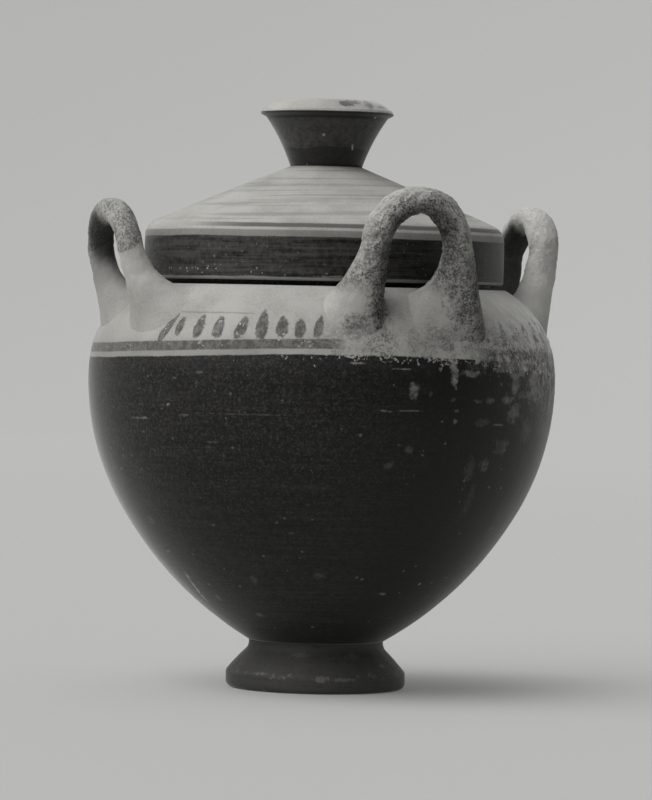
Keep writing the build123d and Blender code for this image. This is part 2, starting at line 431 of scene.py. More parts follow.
def pull_loop(name, loop, rows):
    """Rolls a straight coil, cuts it into rings and bends these into the loop and its feet."""
    bpy.ops.object.select_all(action="DESELECT")
    bpy.ops.mesh.primitive_cylinder_add(vertices=COIL_SIDES, radius=BLANK_RADIUS, depth=BLANK_LENGTH)
    piece = bpy.context.object
    piece.name = name
    bpy.ops.object.mode_set(mode="EDIT")
    bpy.ops.mesh.select_mode(type="EDGE")
    bpy.ops.mesh.select_all(action="DESELECT")
    mesh = bmesh.from_edit_mesh(piece.data)
    for edge in mesh.edges:
        edge.select_set(abs(edge.verts[0].co.z - edge.verts[1].co.z) > BLANK_LENGTH / 2)
    bmesh.update_edit_mesh(piece.data)
    bpy.ops.mesh.subdivide(number_cuts=len(rows) - 2)
    bpy.ops.mesh.select_mode(type="VERT")
    bpy.ops.object.mode_set(mode="OBJECT")
    for vertex in piece.data.vertices:
        station, foot_run = rows[round((vertex.co.z / BLANK_LENGTH + 0.5) * (len(rows) - 1))]
        angle = math.atan2(vertex.co.y, vertex.co.x)
        if foot_run is None:
            vertex.co = loop.ring_point(station, angle) * MM
        else:
            vertex.co = loop.foot_point(station, *foot_run, angle) * MM
    bpy.ops.object.mode_set(mode="EDIT")
    bpy.ops.mesh.select_all(action="SELECT")
    bpy.ops.mesh.normals_make_consistent(inside=False)
    bpy.ops.object.mode_set(mode="OBJECT")
    finer = piece.modifiers.new("finer", "SUBSURF")
    finer.levels = 2
    finer.render_levels = 2
    bpy.ops.object.modifier_apply(modifier="finer")
    bpy.ops.object.shade_smooth()
    return piece


def coil_share(point):
    """The whole coil is lumpy; its foot was wiped smoother onto the shoulder."""
    return 0.3 + 0.7 * soft_step(point.z, 156.0, 174.0)


# Lumps of the pulled clay and, finer, the crust on it: grain and depth of each in millimetres
LUMP_GRAIN = 8.0
LUMP_DEPTH = 1.5
CRUST_GRAIN = 1.8
CRUST_DEPTH = {"loop_front": 1.3, "loop_right": 0.8, "loop_back": 0.6, "loop_left": 0.4}
loops = {}
for loop_name, plan in LOOPS.items():
    line = Loop(plan)
    loops[loop_name] = pull_loop(loop_name, line, line.rows())
    roughen(loops[loop_name], loop_name + "_lumps", LUMP_GRAIN, LUMP_DEPTH, coil_share)
    roughen(loops[loop_name], loop_name + "_crust", CRUST_GRAIN, CRUST_DEPTH[loop_name], coil_share)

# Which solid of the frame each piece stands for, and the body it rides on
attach(foot, "vessel")
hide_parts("foot")
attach(body, "vessel")
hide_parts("body")
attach(lid, "lid")
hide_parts("lid")
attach(knob, "lid")
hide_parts("lid_knob")
for loop_name, loop in loops.items():
    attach(loop, "vessel")
    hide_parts(LOOPS[loop_name]["solid"])

# Colours of the clay, its glaze and what has settled on them
# A lit copy of the pale clay, laid on as painted light
CLAY_PAINTED_LIGHT = (0.58, 0.575, 0.545, 1.0)
CLAY_PALE = (0.45, 0.445, 0.42, 1.0)
CLAY_DULL = (0.34, 0.335, 0.312, 1.0)
CLAY_STAIN = (0.2, 0.197, 0.183, 1.0)
GLAZE_DEEP = (0.003, 0.0029, 0.0026, 1.0)
GLAZE_THIN = (0.017, 0.0167, 0.0152, 1.0)
GLAZE_DULL = (0.06, 0.059, 0.054, 1.0)
GREY_WASH = (0.095, 0.093, 0.086, 1.0)
CRUST_DARK = (0.03, 0.0294, 0.027, 1.0)
CRUST_PALE = (0.38, 0.376, 0.353, 1.0)
FLAKE_PALE = (0.3, 0.297, 0.28, 1.0)

def add_node(tree, kind, feeds=None, **settings):
    """Adds a node. A feed that is a value is linked; any other is set on the socket."""
    node = tree.nodes.new(kind)
    for name, setting in settings.items():
        setattr(node, name, setting)
    for socket, feed in (feeds or {}).items():
        if isinstance(feed, Value):
            tree.links.new(feed.socket, node.inputs[socket])
        else:
            node.inputs[socket].default_value = feed
    return node


class Value:
    """What a node gives at each place: a number, mask, colour or vector that sums can be written with."""

    def __init__(self, socket):
        self.socket = socket
        self.tree = socket.id_data

    def calc(self, operation, *terms):
        """One sum that starts with this value."""
        feeds = dict(enumerate((self,) + terms))
        return Value(add_node(self.tree, "ShaderNodeMath", feeds, operation=operation).outputs[0])

    def __add__(self, other):
        return self.calc("ADD", other)

    def __sub__(self, other):
        return self.calc("SUBTRACT", other)

    def __mul__(self, other):
        return self.calc("MULTIPLY", other)

    def __truediv__(self, other):
        return self.calc("DIVIDE", other)

    def __or__(self, other):
        """The larger of two masks."""
        return self.calc("MAXIMUM", other)

    def scaled(self, factor, offset):
        """This value times a factor, plus an offset."""
        return self.calc("MULTIPLY_ADD", factor, offset)

    def without(self, taken):
        """This mask less another."""
        return self * taken.scaled(-1.0, 1.0)

    def fade(self, low, high):
        """Rises softly from 0 at low to 1 at high; falls where low is the larger."""
        feeds = {"Value": self, "From Min": low, "From Max": high}
        node = add_node(self.tree, "ShaderNodeMapRange", feeds, interpolation_type="SMOOTHSTEP")
        return Value(node.outputs[0])

    def between(self, start, full, fading, gone):
        """Rises softly from start to full, and falls again from fading to gone."""
        return self.fade(start, full) * self.fade(gone, fading)

    def tint(self, under, over):
        """Lays one colour over another by this mask."""
        feeds = {0: self, 6: under, 7: over}
        return Value(add_node(self.tree, "ShaderNodeMix", feeds, data_type="RGBA").outputs[2])

    def vector_calc(self, operation, *terms):
        """One sum of vectors that starts with this one, as the outputs of its node."""
        feeds = dict(enumerate((self,) + terms))
        return add_node(self.tree, "ShaderNodeVectorMath", feeds, operation=operation).outputs

    def axis(self, name):
        """One coordinate of this place, in millimetres."""
        return Value(add_node(self.tree, "ShaderNodeSeparateXYZ", {0: self}).outputs[name]) / MM

    def noise(self, scale, detail, roughness):
        """Cloudy noise over this vector."""
        feeds = {"Vector": self, "Scale": scale, "Detail": detail, "Roughness": roughness}
        return Value(add_node(self.tree, "ShaderNodeTexNoise", feeds).outputs[0])

    def cloud(self, size, detail=3.0, roughness=0.55):
        """Cloudy noise over this place whose blots are about that many millimetres across."""
        return self.noise(1.0 / (size * MM), detail, roughness)


def coordinates(tree, kind):
    """Each place, or each way, in one kind of coordinates."""
    return Value(add_node(tree, "ShaderNodeTexCoord").outputs[kind])


def distance(across, along):
    """How far away a place is that lies so far across and so far along."""
    return (across * across + along * along).calc("SQRT")


def largest(masks):
    """The largest of several masks at each place."""
    return functools.reduce(operator.or_, masks)


class Group:
    """A node group in the making: it takes a place and numbers, and gives masks or other values."""

    def __init__(self, name, takes, gives):
        self.tree = bpy.data.node_groups.new(name, "ShaderNodeTree")
        for label in takes:
            kind = "NodeSocketVector" if label == "Place" else "NodeSocketFloat"
            self.tree.interface.new_socket(label, in_out="INPUT", socket_type=kind)
        for label in gives:
            self.tree.interface.new_socket(label, in_out="OUTPUT", socket_type="NodeSocketFloat")
        inputs = self.tree.nodes.new("NodeGroupInput").outputs
        self.given = [Value(inputs[label]) for label in takes]

    def give(self, *values):
        """Sends the values out of the group, in order, and gives the finished group."""
        add_node(self.tree, "NodeGroupOutput", dict(enumerate(values)))
        return self.tree


def around_pot_group():
    """Where a place is on the pot: bearing in degrees, height and radius in millimetres."""
    group = Group("around the pot", ["Place"], ["Bearing", "Height", "Radius"])
    (place,) = group.given
    right = place.axis("X")
    back = place.axis("Y")
    turn = right.calc("ARCTAN2", back * -1.0)
    return group.give(turn.calc("DEGREES"), place.axis("Z"), distance(right, back))


def clay_grain_group():
    """Fired clay: a slow change of tone, and its fine grain."""
    group = Group("clay grain", ["Place"], ["Tone", "Grain"])
    (place,) = group.given
    fine = place.cloud(1.0)
    return group.give(place.cloud(16.0, 4.0) * 0.65 + fine * 0.35, fine)


def wheel_streaks_group():
    """Level streaks that a brush leaves on a pot that turns on the wheel."""
    group = Group("wheel streaks", ["Place"], ["Streak"])
    (place,) = group.given
    length, height = 28.0 * MM, 1.1 * MM
    stretch = (1.0 / length, 1.0 / length, 1.0 / height)
    return group.give(Value(place.vector_calc("MULTIPLY", stretch)[0]).noise(1.0, 4.0, 0.65))


def brushed_band_group():
    """A band between two heights whose edges waver as a brush does."""
    group = Group("brushed band", ["Place", "Height", "Low", "High", "Waver"], ["Mask"])
    place, height, low, high, waver = group.given
    softness = 0.3
    slow = (place.cloud(26.0, 2.0) - 0.5) * (waver * 3.0)
    height = height + (slow + (place.cloud(1.4) - 0.5) * waver)
    above = height.fade(low - softness, low + softness)
    return group.give(above * height.fade(high + softness, high - softness))


def leaf_dab_group():
    """One dab of a loaded brush: a leaf that is fuller below and may lean."""
    takes = ["Ragged", "Across", "Height", "Foot", "Length", "Half Width", "Lean"]
    group = Group("leaf dab", takes, ["Mask"])
    ragged, across, height, foot_height, length, half_width, lean = group.given
    rise = height - foot_height
    share = rise / length
    off = (across - lean * rise) / (half_width * share.scaled(-0.4, 1.25))
    edge = ragged.scaled(0.8, distance(off, (share - 0.46) / 0.54))
    return group.give(edge.fade(1.15, 0.85))


def worn_spot_group():
    """One chip, scratch or smear at a bearing and height, with a ragged edge."""
    takes = ["Ragged", "Bearing", "Height", "Radius"]
    takes += ["At Bearing", "At Height", "Half Width", "Half Height", "Slant"]
    group = Group("worn spot", takes, ["Mask"])
    ragged, bearing, height, radius, at_bearing, at_height, half_width, half_height, slant = group.given
    rise = height - at_height
    off = (bearing - at_bearing).calc("RADIANS") * radius - rise * slant
    edge = ragged.scaled(3.0, distance(off / half_width, rise / half_height))
    return group.give(edge.fade(1.2, 0.5))


def flaking_group():
    """Where thin glaze has flaked off, by how worn the place is."""
    group = Group("flaking", ["Place", "Amount"], ["Bare"])
    place, amount = group.given
    flakes = place.cloud(6.0, 4.0, 0.62) * 0.4 + place.cloud(1.3, 3.0, 0.6) * 0.6
    return group.give((flakes - amount.scaled(-0.55, 0.8)).fade(-0.02, 0.03))


def scattered_dots_group():
    """Dots of many sizes strewn over the surface: pits, specks and crumbs."""
    group = Group("scattered dots", ["Place", "Spacing", "Share"], ["Mask"])
    place, spacing, share = group.given
    feeds = {"Vector": place, "Scale": spacing.calc("POWER", -1.0) / MM}
    cells = add_node(group.tree, "ShaderNodeTexVoronoi", feeds).outputs
    lots = add_node(group.tree, "ShaderNodeSeparateColor", {0: Value(cells["Color"])}).outputs
    chosen = Value(lots[0]).calc("GREATER_THAN", share.scaled(-1.0, 1.0))
    size = Value(lots[1]).scaled(0.28, 0.1)
    return group.give(chosen * Value(cells["Distance"]).fade(size, size * 0.5))


def crust_group():
    """Gritty crust: how pale its grit is, and where it lies thick."""
    group = Group("crust", ["Place"], ["Grit", "Thick"])
    (place,) = group.given
    grains = place.cloud(0.9, 3.0, 0.75) * 0.68 + place.cloud(5.0) * 0.32
    return group.give(grains.fade(0.41, 0.56), place.cloud(9.0, 4.0).fade(0.36, 0.6))


AROUND_POT = around_pot_group()
CLAY_GRAIN = clay_grain_group()
WHEEL_STREAKS = wheel_streaks_group()
BRUSHED_BAND = brushed_band_group()
LEAF_DAB = leaf_dab_group()
WORN_SPOT = worn_spot_group()
FLAKING = flaking_group()
SCATTERED_DOTS = scattered_dots_group()
CRUST = crust_group()


class Finish:
    """A material in the making, and what every finish of this pot reads."""

    def __init__(self, name):
        self.material = bpy.data.materials.new(name)
        self.material.use_nodes = True
        self.tree = self.material.node_tree
        self.place = coordinates(self.tree, "Object")
        self.bearing, self.height, self.radius = self.use(AROUND_POT, self.place)
        tone, self.grain = self.use(CLAY_GRAIN, self.place)
        # The clay carries painted shade and painted light on the shoulder by the left and right handles
        self.clay = self.shoulder_clay(tone.fade(0.32, 0.62).tint(CLAY_DULL, CLAY_PALE))
        self.streak = self.use(WHEEL_STREAKS, self.place)[0]
        self.mottle = self.place.cloud(2.4, 4.0, 0.7)
        thinness = self.mottle.scaled(0.5, self.streak * 0.5)
        self.glaze = thinness.fade(0.4, 0.66).tint(GLAZE_DEEP, GLAZE_THIN)

    def use(self, group, *feeds):
        """Places a node group and lists what it gives."""
        node = add_node(self.tree, "ShaderNodeGroup", dict(enumerate(feeds)), node_tree=group)
        return [Value(socket) for socket in node.outputs]

    def shoulder_clay(self, clay):
        """Clay with painted shade on the shoulder by the left handle, and painted light on it by the right
        one.
        """
        shoulder = self.height.fade(167.0, 157.0)
        # Painted shade on the shoulder by the left handle, in the stain colour
        stain_as_painted_shade = self.bearing.fade(-60.0, -84.0) * shoulder * 0.3
        # Painted light on the shoulder by the right handle
        painted_light_on_right = self.bearing.between(20.0, 46.0, 110.0, 140.0) * shoulder * 0.6
        return painted_light_on_right.tint(stain_as_painted_shade.tint(clay, CLAY_STAIN), CLAY_PAINTED_LIGHT)

    def band(self, low, high, waver, height=None):
        """A painted band between two heights."""
        return self.use(BRUSHED_BAND, self.place, height or self.height, low, high, waver)[0]

    def flaked(self, amount):
        """Where the glaze is gone, at that amount of wear."""
        return self.use(FLAKING, self.place, amount)[0]

    def dots(self, spacing, share):
        """Strewn dots."""
        return self.use(SCATTERED_DOTS, self.place, spacing, share)[0]

    def crust(self):
        """The colour of gritty crust, where it lies thick, and its pale grit."""
        grit, thick = self.use(CRUST, self.place)
        return grit.tint(CRUST_DARK, CRUST_PALE), thick, grit

    def ragged(self):
        """Small ups and downs that roughen an edge."""
        return self.place.cloud(1.9, 4.0, 0.7) - 0.5

    def broken(self, mask, share):
        """A mask that lets the mottled ground through by that share."""
        return mask * self.mottle.fade(0.36, 0.6).scaled(share, 1.0 - share)

    def shoulder_cover(self):
        """How much crust covers the shoulder: by the front handle, and on the right side."""
        by_handle = self.bearing.between(-30.0, -16.0, 20.0, 54.0) * self.height.fade(127.0, 136.0)
        right_side = self.bearing.between(14.0, 56.0, 105.0, 150.0) * self.height.fade(95.0, 134.0)
        return by_handle, right_side

    def shoulder_crust(self, by_handle, right_side, thick):
        """Crust on the shoulder, thinner towards the ledge."""
        return (by_handle | right_side) * thick.scaled(0.6, 0.1) * self.height.fade(160.0, 138.0)

    def spots(self, places):
        """Several worn spots as one mask; each has a bearing, height, half sizes, slant and strength."""
        reads = (self.ragged(), self.bearing, self.height, self.radius)
        return largest([self.use(WORN_SPOT, *reads, *sizes)[0] * strength for *sizes, strength in places])

    def close(self, colour, roughness, relief, gloss=0.35, sheen=(0.0, 0.5)):
        """Feeds the shader; relief is in millimetres, and sheen is its weight and roughness."""
        bump = add_node(self.tree, "ShaderNodeBump", {"Height": relief, "Distance": MM, "Strength": 1.0})
        inputs = self.tree.nodes["Principled BSDF"].inputs
        self.tree.links.new(colour.socket, inputs["Base Color"])
        self.tree.links.new(roughness.socket, inputs["Roughness"])
        self.tree.links.new(bump.outputs[0], inputs["Normal"])
        inputs["Specular IOR Level"].default_value = gloss
        inputs["Sheen Weight"].default_value, inputs["Sheen Roughness"].default_value = sheen
        return self.material


# Leaf dabs of one panel: bearing from the handle on its left, foot, length, half width and lean
LEAVES = [
    (23.4, 141.5, 11.0, 1.9, 0.5),
    (28.7, 144.2, 7.0, 1.7, 0.1),
    (34.6, 143.6, 8.4, 2.1, 0.1),
    (40.3, 143.6, 8.0, 2.2, 0.04),
    (46.0, 143.8, 7.8, 2.3, 0.25),
    (51.8, 143.6, 10.4, 2.3, 0.02),
    (57.0, 144.4, 7.6, 2.3, 0.0),
    (61.5, 144.2, 7.4, 2.0, 0.0),
    (65.6, 144.4, 8.0, 1.8, 0.2),
]

# Marks on the black glaze: bearing, height, half width, half height, slant and how bare
BODY_MARKS = [
    (10.1, 132.1, 1.9, 5.7, 0.0, 0.6),
    (15.1, 131.0, 4.6, 1.4, 0.0, 0.55),
    (-0.7, 124.4, 2.2, 3.6, 0.0, 0.4),
    (6.2, 132.8, 0.9, 0.8, 0.0, 0.55),
    (-4.0, 132.5, 4.3, 0.4, 0.0, 0.35),
    (-14.7, 134.5, 2.9, 0.6, 0.0, 0.6),
    (-7.7, 116.0, 2.1, 0.5, -1.6, 0.35),
    (-1.7, 116.2, 5.2, 0.4, 0.0, 0.3),
    (3.5, 122.9, 1.1, 1.2, 0.0, 0.16),
    (10.0, 120.7, 1.4, 1.0, 0.0, 0.13),
    (11.0, 112.1, 1.1, 1.2, 0.0, 0.26),
    (11.0, 116.4, 1.5, 0.6, 0.0, 0.2),
    (17.5, 120.3, 2.1, 1.0, 0.0, 0.2),
    (21.2, 120.4, 2.8, 1.2, 0.0, 0.18),
    (28.1, 120.8, 3.9, 1.6, 0.0, 0.32),
    (31.0, 127.0, 3.0, 4.6, 0.0, 0.32),
    (25.4, 110.9, 3.4, 0.5, 0.0, 0.3),
    (19.8, 111.6, 3.9, 1.6, 0.0, 0.15),
    (28.0, 102.0, 5.1, 3.2, 0.0, 0.12),
    (31.1, 115.6, 4.1, 4.1, 0.0, 0.25),
    (28.2, 133.8, 9.7, 2.0, 0.0, 0.6),
    (36.0, 134.2, 6.0, 1.6, 0.0, 0.5),
    (22.9, 94.6, 2.9, 2.4, 0.0, 0.2),
    (18.1, 92.9, 2.7, 5.3, 0.0, 0.09),
    (21.4, 80.8, 2.3, 7.3, 0.0, 0.06),
    (-0.8, 100.8, 2.0, 1.6, 0.0, 0.13),
    (-5.6, 94.8, 1.7, 1.8, 0.8, 0.1),
    (-3.6, 102.8, 0.9, 0.6, 0.0, 0.15),
    (41.5, 125.4, 5.6, 4.9, 0.0, 0.4),
    (45.8, 135.8, 6.7, 3.2, 0.0, 0.3),
    (38.1, 108.6, 5.0, 4.9, 0.0, 0.12),
    (-62.4, 116.5, 0.8, 0.6, 0.0, 1.0),
    (-64.4, 114.5, 0.6, 0.4, 0.0, 0.5),
    (-72.7, 110.6, 5.6, 0.5, 0.0, 0.35),
    (-57.6, 112.5, 2.5, 0.6, 0.0, 0.35),
    (-40.4, 113.5, 19.1, 0.2, 0.0, 0.2),
    (-50.0, 102.3, 2.7, 0.4, 0.0, 0.25),
    (-51.5, 100.3, 1.8, 0.4, 0.0, 0.2),
    (-83.3, 94.8, 1.2, 0.8, 0.0, 0.25),
    (-53.2, 129.5, 1.4, 0.6, 0.0, 0.25),
    (-60.1, 127.0, 1.0, 0.5, 0.0, 0.3),
    (-91.7, 89.5, 2.2, 0.6, 0.0, 0.2),
    (-76.1, 89.6, 2.0, 0.6, 0.0, 0.15),
    (-68.8, 98.0, 1.2, 0.6, 0.0, 0.15),
    (-83.2, 42.2, 1.1, 5.9, 0.3, 1.3),
    (-71.8, 38.0, 1.5, 1.4, 0.3, 0.3),
    (-47.0, 46.9, 1.8, 2.0, 0.0, 0.12),
    (-52.9, 31.8, 1.9, 0.8, 0.0, 0.3),
    (19.2, 46.0, 0.7, 0.5, 0.0, 1.0),
    (4.3, 42.0, 1.8, 0.6, 0.0, 0.3),
    (-23.0, 49.5, 3.2, 1.6, 0.0, 0.08),
    (-55.3, 68.9, 1.4, 0.6, 0.0, 0.2),
    (-30.9, 66.9, 1.2, 0.6, 0.0, 0.15),
    (-82.5, 56.6, 1.6, 0.6, 0.0, 0.3),
    (-81.6, 69.2, 2.3, 1.6, 0.0, 0.2),
]

# Crust that runs down the legs of the front handle onto the shoulder, and pits beside them
LEG_CRUST = [
    (-8.8, 161.0, 5.4, 21.0, 0.03, 1.0),
    (-14.0, 150.5, 7.0, 3.6, 0.0, 0.7),
    (-11.6, 156.0, 3.0, 4.0, 0.0, 0.5),
    (14.4, 160.0, 10.0, 26.0, -0.3, 0.9),
    (26.0, 143.0, 18.0, 6.0, 0.0, 0.8),
]
LEG_PITS = [
    (19.4, 145.8, 1.9, 1.5, 0.5, 1.0),
    (22.6, 144.2, 1.6, 0.8, 0.0, 0.7),
    (16.0, 147.6, 1.2, 0.8, 0.0, 0.8),
    (28.0, 142.6, 2.0, 0.8, 0.0, 0.7),
    (33.0, 145.6, 1.2, 0.8, 0.0, 0.6),
]

# Painting on the pot: the top of the black, the smear above it, the grey band and the hairline
BLACK_TOP = 135.7
SMEAR = (133.0, 140.6)
GREY_BAND = (137.9, 141.7)
HAIRLINE = (152.7, 153.2)
BELOW_POT = -30.0
PANEL_TURN = 90.0
PAINT_WAVE = 1.95


def leaf_dabs(f, panel, smudged):
    """The leaf dabs of every panel, more ragged where they are smudged."""
    ragged = f.ragged() * smudged.scaled(1.6, 1.0)
    dabs = []
    for at, *shape in LEAVES:
        across = (panel - at).calc("RADIANS") * f.radius
        dabs += f.use(LEAF_DAB, ragged, across, f.height, *shape)
    return largest(dabs)


def shoulder_wash(f, frayed, smudged, by_handle):
    """Grey wash on the shoulder: a band, a hairline and the dabs, hidden by the front handle's crust."""
    panel = f.bearing.calc("FLOORED_MODULO", PANEL_TURN)
    hairline = f.band(*HAIRLINE, 0.25) * panel.between(22.0, 28.0, 46.0, 52.0)
    hairline = hairline * f.bearing.fade(8.0, -4.0) * 0.5
    wash = f.band(*GREY_BAND, 0.3, frayed) | hairline | leaf_dabs(f, panel, smudged)
    hidden = by_handle * f.bearing.between(-22.0, -15.0, 22.0, 34.0)
    gone = f.flaked(smudged.scaled(0.16, 0.36))
    return wash.without(hidden).without(gone) * f.mottle.fade(0.62, 0.4).scaled(0.3, 0.7)


def black_cover(f, painted, frayed, right_side):
    """Where black lies: below its edge, in a smear and on the collar, but not on flakes and marks."""
    crumbling = f.bearing.fade(-40.0, -20.0) * painted.fade(129.0, 135.5) * 0.22
    amount = painted.fade(128.0, 135.5).scaled(0.1, right_side.scaled(0.16, 0.17)) + crumbling
    bare = f.flaked(amount) | f.broken(f.spots(BODY_MARKS), 0.6)
    black = f.band(BELOW_POT, BLACK_TOP, 0.5, painted).without(bare)
    smear = f.bearing.between(12.0, 24.0, 52.0, 66.0) * f.mottle.fade(0.36, 0.56)
    smear = smear * f.band(*SMEAR, 0.8, frayed) * 0.8
    return black | f.height.fade(LEDGE_HEIGHT + 0.02, LEDGE_HEIGHT + 0.2) | smear


def pot_black(f, right_side):
    """The colour of the pot's black: darker on the right as painted shade, rubbed high up there, and a
    grey haze on the left that is partly painted light.
    """
    glaze = (f.dots(1.7, 0.3) * 0.3).tint(f.glaze, GLAZE_DULL)
    # Painted shade: the black is made deeper on the right
    glaze = (f.bearing.between(-20.0, 10.0, 70.0, 100.0) * 0.85).tint(glaze, GLAZE_DEEP)
    blotches = f.place.cloud(5.0, 5.0, 0.7).fade(0.5, 0.6)
    rubbed = f.height.fade(110.0, 132.0).tint(GREY_WASH, CLAY_STAIN)
    glaze = (right_side.fade(0.05, 0.6) * blotches * 0.85).tint(glaze, rubbed)
    # A fine grey haze, made stronger on the left as painted light
    dust_and_painted_light = f.place.cloud(1.1, 4.0, 0.8).fade(0.48, 0.68) * f.height.fade(50.0, 120.0).scaled(0.35, 0.2)
    glaze = (dust_and_painted_light * f.bearing.fade(15.0, -35.0).scaled(0.85, 0.15)).tint(glaze, GREY_WASH)
    glaze = (f.dots(2.4, 0.06) * 0.3).tint(glaze, FLAKE_PALE)
    return (f.streak.fade(0.6, 0.75) * f.mottle.fade(0.5, 0.65) * 0.5).tint(glaze, GLAZE_DULL)


def body_finish():
    """The pot: black glaze below a reserved line, a grey band and leaf dabs, worn to the right."""
    f = Finish("worn black glaze with leaf dabs")
    twice_round = f.bearing.scaled(2.0, 120.0).calc("RADIANS")
    painted = twice_round.calc("SINE").scaled(-PAINT_WAVE, f.height)
    smudged = f.bearing.between(10.0, 24.0, 100.0, 140.0)
    frayed = (smudged * (f.mottle - 0.5)).scaled(12.0, painted)
    by_handle, right_side = f.shoulder_cover()
    black = black_cover(f, painted, frayed, right_side)
    crust, thick, grit = f.crust()
    crusted = f.shoulder_crust(by_handle, right_side, thick) | f.spots(LEG_CRUST) * 0.8
    soiled = painted.fade(145.0, 138.0) * f.bearing.fade(-20.0, -44.0) * 0.5
    colour = soiled.tint(f.clay, CLAY_STAIN)
    colour = shoulder_wash(f, frayed, smudged, by_handle).tint(colour, GREY_WASH)
    colour = crusted.tint(colour, crust)
    colour = f.spots(LEG_PITS).tint(colour, CRUST_DARK)
    colour = black.tint(colour, pot_black(f, right_side))
    roughness = f.streak.scaled(0.1, black.scaled(-0.4, 0.85))
    relief = f.streak.scaled(0.05, f.grain.scaled(0.09, black * 0.05)) + crusted * grit * 0.25
    return f.close(colour, roughness, relief, 0.25, (0.6, 0.3))


# Marks on the lid's dark wall and cone
LID_MARKS = [
    (-66.0, 170.4, 0.55, 0.45, 0.0, 0.8),
    (-62.0, 170.6, 0.45, 0.4, 0.0, 0.8),
    (-71.0, 170.5, 0.4, 0.35, 0.0, 0.7),
    (-58.5, 170.4, 0.4, 0.35, 0.0, 0.7),
    (-68.5, 170.7, 0.35, 0.3, 0.0, 0.6),
    (-20.0, 168.0, 6.0, 0.5, 0.0, 0.4),
    (-46.0, 167.7, 5.0, 0.4, 0.0, 0.4),
]

# Painting on the lid: its dark wall, the grey band round its corner and the line above that
DARK_WALL = (167.5, 183.7)
CORNER_BAND = (183.7, 186.2)
CORNER_LINE = (187.3, 189.0)


def cone_rings(f):
    """Rings of wash round the lid's cone, which wander slowly."""
    ring = Value(add_node(f.tree, "ShaderNodeCombineXYZ", {0: f.radius * 0.42}).outputs[0])
    wandering = f.place.vector_calc("MULTIPLY_ADD", (18.0, 18.0, 18.0), ring)[0]
    return Value(wandering).noise(1.0, 3.0, 0.6)


def lid_finish():
    """The lid: a dark wall, thin bands at the corner and faint rings of wash on the pale cone."""
    f = Finish("banded lid glaze")
    low_left = f.bearing.fade(-25.0, -60.0) * f.height.fade(177.0, 170.0)
    specks = f.dots(1.5, 0.3) * low_left.scaled(0.45, 0.2)
    wall = f.band(*DARK_WALL, 0.3).without(f.flaked(0.2) | f.spots(LID_MARKS) | specks)
    dust_and_painted_shade = f.mottle.scaled(0.45, f.streak * 0.55).fade(0.34, 0.62)
    # Less grey haze on the right of the wall, which darkens it there as painted shade
    dust_and_painted_shade = dust_and_painted_shade * f.bearing.fade(45.0, -40.0).scaled(0.75, 0.25)
    line = f.band(*CORNER_LINE, 0.2) * f.bearing.fade(-80.0, -45.0) * 0.9
    faint = cone_rings(f).fade(0.5, 0.66) * f.height.fade(188.5, 190.0) * 0.5
    neck = f.radius.fade(18.5, 15.5) * f.height.fade(205.0, 209.0) * f.streak * 0.7
    colour = faint.tint(f.clay, CLAY_STAIN)
    for mask in (neck, f.band(*CORNER_BAND, 0.2) * 0.55 | line, f.height.fade(169.0, 167.0) * 0.5):
        colour = mask.tint(colour, GREY_WASH)
    colour = wall.tint(colour, dust_and_painted_shade.tint(GLAZE_DEEP, GLAZE_DULL))
    relief = f.streak.scaled(0.06, f.grain.scaled(0.07, wall * 0.05))
    return f.close(colour, wall.scaled(-0.38, 0.85), relief, 0.25, (0.2, 0.3))


# Marks on the knob: a chip low on its flare, and brush ends on its top
KNOB_CHIPS = [(13.3, 221.1, 0.6, 1.1, -0.3, 1.0)]
KNOB_STROKES = [
    (-4.0, 238.6, 3.6, 1.5, 0.0, 0.75),
    (6.0, 239.3, 3.0, 1.0, 0.0, 0.6),
    (22.0, 238.4, 2.4, 1.8, 0.5, 0.6),
    (40.0, 237.8, 4.0, 0.9, 0.0, 0.5),
    (150.0, 238.2, 4.0, 1.2, 0.0, 0.6),
]

# Painting on the knob: black round the neck, thin glaze up to the lip, and the lip's dark edge
NECK_BLACK = (200.0, 220.6)
FLARE_GLAZE = (200.0, 235.5)
LIP_EDGE = (232.6, 236.0)


def knob_finish():
    """The knob: thin dark glaze on its flare, a black neck band and a pale top with brush ends."""
    f = Finish("knob glaze")
    thin = f.mottle.fade(0.25, 0.7).tint(GLAZE_THIN, GLAZE_DULL)
    darkest = f.band(*NECK_BLACK, 1.2) * 0.75 | f.band(*LIP_EDGE, 0.1) * 0.85
    flare = f.band(*FLARE_GLAZE, 0.15).without(f.spots(KNOB_CHIPS) | f.dots(3.0, 0.06) * 0.7)
    colour = f.spots(KNOB_STROKES).tint(f.clay, CRUST_DARK)
    colour = flare.tint(colour, darkest.tint(thin, GLAZE_DEEP))
    relief = f.grain.scaled(0.07, flare * 0.05)
    return f.close(colour, flare.scaled(-0.35, 0.85), relief, sheen=(0.45, 0.35))


# Rubbed patches on the foot's rim and stem
FOOT_MARKS = [
    (-19.0, 6.2, 3.6, 1.2, 0.0, 0.8),
    (-6.0, 6.0, 5.0, 0.8, 0.0, 0.6),
    (8.4, 15.0, 3.0, 1.6, 0.3, 0.45),
    (31.4, 10.8, 2.2, 0.8, -0.5, 0.6),
    (-35.0, 15.0, 4.0, 1.6, 0.0, 0.25),
    (46.0, 8.0, 2.0, 0.7, 0.0, 0.5),
    (-60.0, 7.4, 4.0, 0.6, 0.0, 0.5),
]


